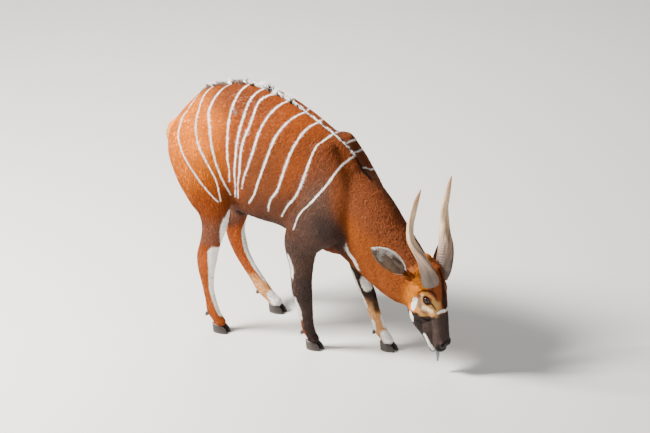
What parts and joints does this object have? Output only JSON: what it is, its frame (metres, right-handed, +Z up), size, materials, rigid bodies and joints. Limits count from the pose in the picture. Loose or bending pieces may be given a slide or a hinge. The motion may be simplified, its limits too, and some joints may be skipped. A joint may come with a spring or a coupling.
{
  "type": "antelope figure",
  "caption": "Life-size standing striped forest antelope with its head down to drink, lyre horns, cupped ears and a short crest.",
  "frame": {"origin": "on the floor under the middle of the animal's box, level with the soles", "axes": "+X is the way that the animal faces, +Y its left, +Z up"},
  "size_m": [1.6315, 0.5371, 1.3037],
  "materials": {
    "torso": "short chestnut hair over a firm body, crossed by narrow white stripes",
    "neck": "short orange-brown hair",
    "head": "fine dark brown hair with white marks",
    "ear": "thin, haired, pale at its rim",
    "eye": "wet and very dark brown",
    "horn": "grey-brown horn with faint rings, paler at the tip",
    "tail": "short hair with a dark tuft",
    "tongue": "wet and bluish grey",
    "upper_leg": "short dark brown hair",
    "lower_leg": "short brown hair with white patches",
    "hoof": "dark horn, slightly scuffed"
  },
  "bodies": {
    "root": {"torso": "torso", "neck": "neck", "head": "head", "tail": "tail", "tongue": "tongue", "ear_left": "ear", "ear_right": "ear", "eye_left": "eye", "eye_right": "eye", "horn_left": "horn", "horn_right": "horn", "upper_leg_fore_right": "upper_leg", "lower_leg_fore_right": "lower_leg", "upper_leg_fore_left": "upper_leg", "lower_leg_fore_left": "lower_leg", "upper_leg_hind_right": "upper_leg", "lower_leg_hind_right": "lower_leg", "upper_leg_hind_left": "upper_leg", "lower_leg_hind_left": "lower_leg", "claw_fore_right_left": "hoof", "claw_fore_right_right": "hoof", "dewclaw_fore_right_left": "hoof", "dewclaw_fore_right_right": "hoof", "claw_fore_left_left": "hoof", "claw_fore_left_right": "hoof", "dewclaw_fore_left_left": "hoof", "dewclaw_fore_left_right": "hoof", "claw_hind_right_left": "hoof", "claw_hind_right_right": "hoof", "dewclaw_hind_right_left": "hoof", "dewclaw_hind_right_right": "hoof", "claw_hind_left_left": "hoof", "claw_hind_left_right": "hoof", "dewclaw_hind_left_left": "hoof", "dewclaw_hind_left_right": "hoof"}
  },
  "joints": []
}
